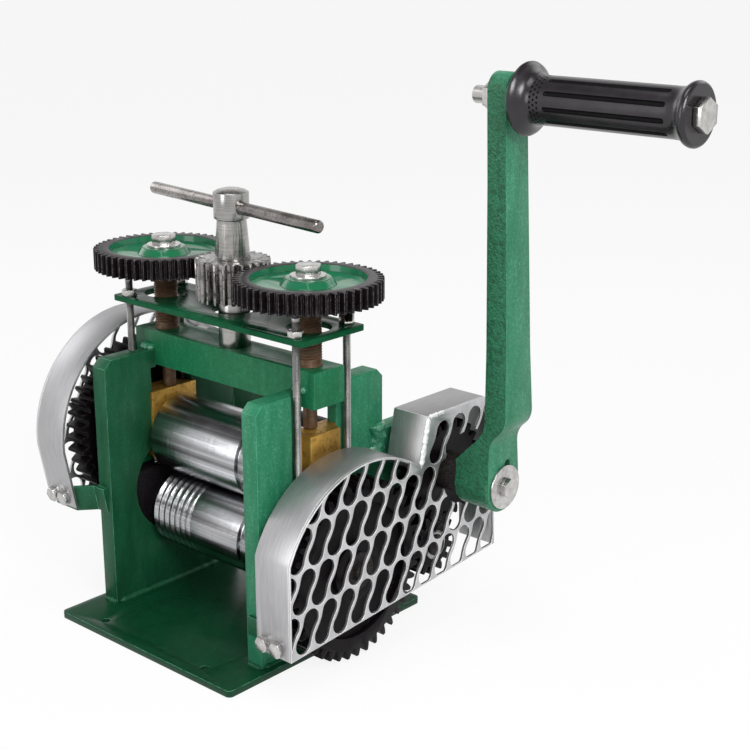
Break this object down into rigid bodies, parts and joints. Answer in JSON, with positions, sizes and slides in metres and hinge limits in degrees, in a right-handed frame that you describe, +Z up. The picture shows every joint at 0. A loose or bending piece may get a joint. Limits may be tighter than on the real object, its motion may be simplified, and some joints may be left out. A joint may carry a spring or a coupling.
{
  "type": "jewellers rolling mill",
  "caption": "Hand-cranked bench rolling mill: twin grooved steel rollers in a welded frame, geared crank, gear guards, and a T-handle that lifts the upper roller.",
  "frame": {"origin": "middle of the underside of the base plate, below the roller axes", "axes": "+X along the rollers towards the crank, +Y with the metal away from the user, +Z up"},
  "size_m": [0.4515, 0.2492, 0.4187],
  "materials": {
    "green_satin": "satin green paint",
    "green_hammered": "hammered green paint",
    "green_gloss": "gloss green paint",
    "black_carrier": "blackened",
    "bronze": "machined",
    "guard_aluminium": "brushed",
    "roller_steel": "ground and polished",
    "shaft_steel": "turned",
    "cast_black": "blackened, oiled",
    "machined_steel": "turned",
    "zinc": "zinc plated",
    "grip_rubber": "moulded"
  },
  "bodies": {
    "frame": {"base_plate": "green_satin", "left_side_plate": "green_satin", "right_side_plate": "green_satin", "left_lower_carrier": "black_carrier", "right_lower_carrier": "black_carrier", "carrier_screws": "zinc", "lower_bushes": "bronze", "top_beam": "green_hammered", "spindle_bush": "bronze", "left_rear_arm": "green_satin", "right_rear_arm": "green_satin", "shaft_bushes": "bronze", "idler_stud": "shaft_steel", "idler_circlip": "machined_steel", "left_guard_band": "guard_aluminium", "left_guard_face": "guard_aluminium", "right_guard_band": "guard_aluminium", "right_guard_face": "guard_aluminium", "left_guard_strap": "green_satin", "right_guard_strap": "green_satin", "guard_rear_straps": "green_satin", "guard_bolts": "zinc", "guard_nuts": "zinc", "return_springs": "machined_steel"},
    "crank": {"crank_shaft": "shaft_steel", "crank_gear": "cast_black", "left_drive_pinion": "cast_black", "crank_keys": "machined_steel", "crank_spacer": "shaft_steel", "pinion_fixings": "zinc", "crank_arm": "green_hammered", "crank_fixings": "zinc", "grip_bolt": "zinc", "grip_nut": "zinc"},
    "grip": {"grip": "grip_rubber"},
    "idler": {"idler_gear": "cast_black"},
    "lower_roller": {"lower_roller": "roller_steel", "lower_gear": "cast_black", "lower_gear_fixings": "zinc"},
    "lift": {"left_upper_block": "bronze", "right_upper_block": "bronze", "lift_straps": "green_gloss", "lift_rods": "shaft_steel", "rod_nuts": "zinc", "top_plate": "green_gloss"},
    "thrust_washers": {"thrust_washers": "bronze"},
    "upper_roller": {"upper_roller": "roller_steel", "upper_gear": "cast_black", "upper_gear_fixings": "zinc"},
    "left_screw": {"left_screw": "shaft_steel", "left_lift_gear": "cast_black", "left_screw_fixings": "zinc"},
    "right_screw": {"right_screw": "shaft_steel", "right_lift_gear": "cast_black", "right_screw_fixings": "zinc"},
    "handle": {"spindle": "shaft_steel", "spindle_fixings": "machined_steel", "spindle_pinion": "machined_steel", "handle_hub": "machined_steel", "cross_bar": "shaft_steel"}
  },
  "joints": [
    {"name": "crank_turn", "type": "hinge", "parent": "frame", "child": "crank", "pos_m": [0, 0.0982, 0.117], "axis": [1, 0, 0], "continuous": true},
    {"name": "grip_spin", "type": "hinge", "parent": "crank", "child": "grip", "pos_m": [0.24, 0.08428, 0.39465], "axis": [1, 0, 0], "continuous": true},
    {"name": "idler_spin", "type": "hinge", "parent": "frame", "child": "idler", "pos_m": [0.111, 0.0837, 0.06188], "axis": [1, 0, 0], "continuous": true},
    {"name": "lower_roller_spin", "type": "hinge", "parent": "frame", "child": "lower_roller", "pos_m": [0, 0, 0.069], "axis": [1, 0, 0], "continuous": true},
    {"name": "handle_turn", "type": "hinge", "parent": "frame", "child": "handle", "pos_m": [0, 0, 0.25], "axis": [0, 0, 1], "range_deg": [-1440, 144]},
    {"name": "lift_slide", "type": "slide", "parent": "frame", "child": "lift", "axis": [0, 0, 1], "range_m": [-0.0008, 0.008], "deforming": ["return_springs"]},
    {"name": "upper_roll", "type": "hinge", "parent": "lift", "child": "thrust_washers", "pos_m": [0, 0, 0.13], "axis": [1, 0, 0], "range_deg": [-7.12, 0.71]},
    {"name": "upper_roller_spin", "type": "hinge", "parent": "thrust_washers", "child": "upper_roller", "pos_m": [0, 0, 0.13], "axis": [1, 0, 0], "continuous": true},
    {"name": "left_screw_turn", "type": "hinge", "parent": "lift", "child": "left_screw", "pos_m": [-0.075, 0, 0.22], "axis": [0, 0, 1], "range_deg": [-72, 720]},
    {"name": "right_screw_turn", "type": "hinge", "parent": "lift", "child": "right_screw", "pos_m": [0.075, 0, 0.22], "axis": [0, 0, 1], "range_deg": [-72, 720]}
  ],
  "couplings": [
    {"joint": "idler_spin", "follows": "crank_turn", "ratio": -1.7143},
    {"joint": "lower_roller_spin", "follows": "crank_turn", "ratio": 0.57143},
    {"joint": "upper_roller_spin", "follows": "crank_turn", "ratio": -0.57143},
    {"joint": "lift_slide", "follows": "handle_turn", "m_per_rad": -0.00031831},
    {"joint": "upper_roll", "follows": "handle_turn", "ratio": 0.0049431},
    {"joint": "left_screw_turn", "follows": "handle_turn", "ratio": -0.5},
    {"joint": "right_screw_turn", "follows": "handle_turn", "ratio": -0.5}
  ]
}
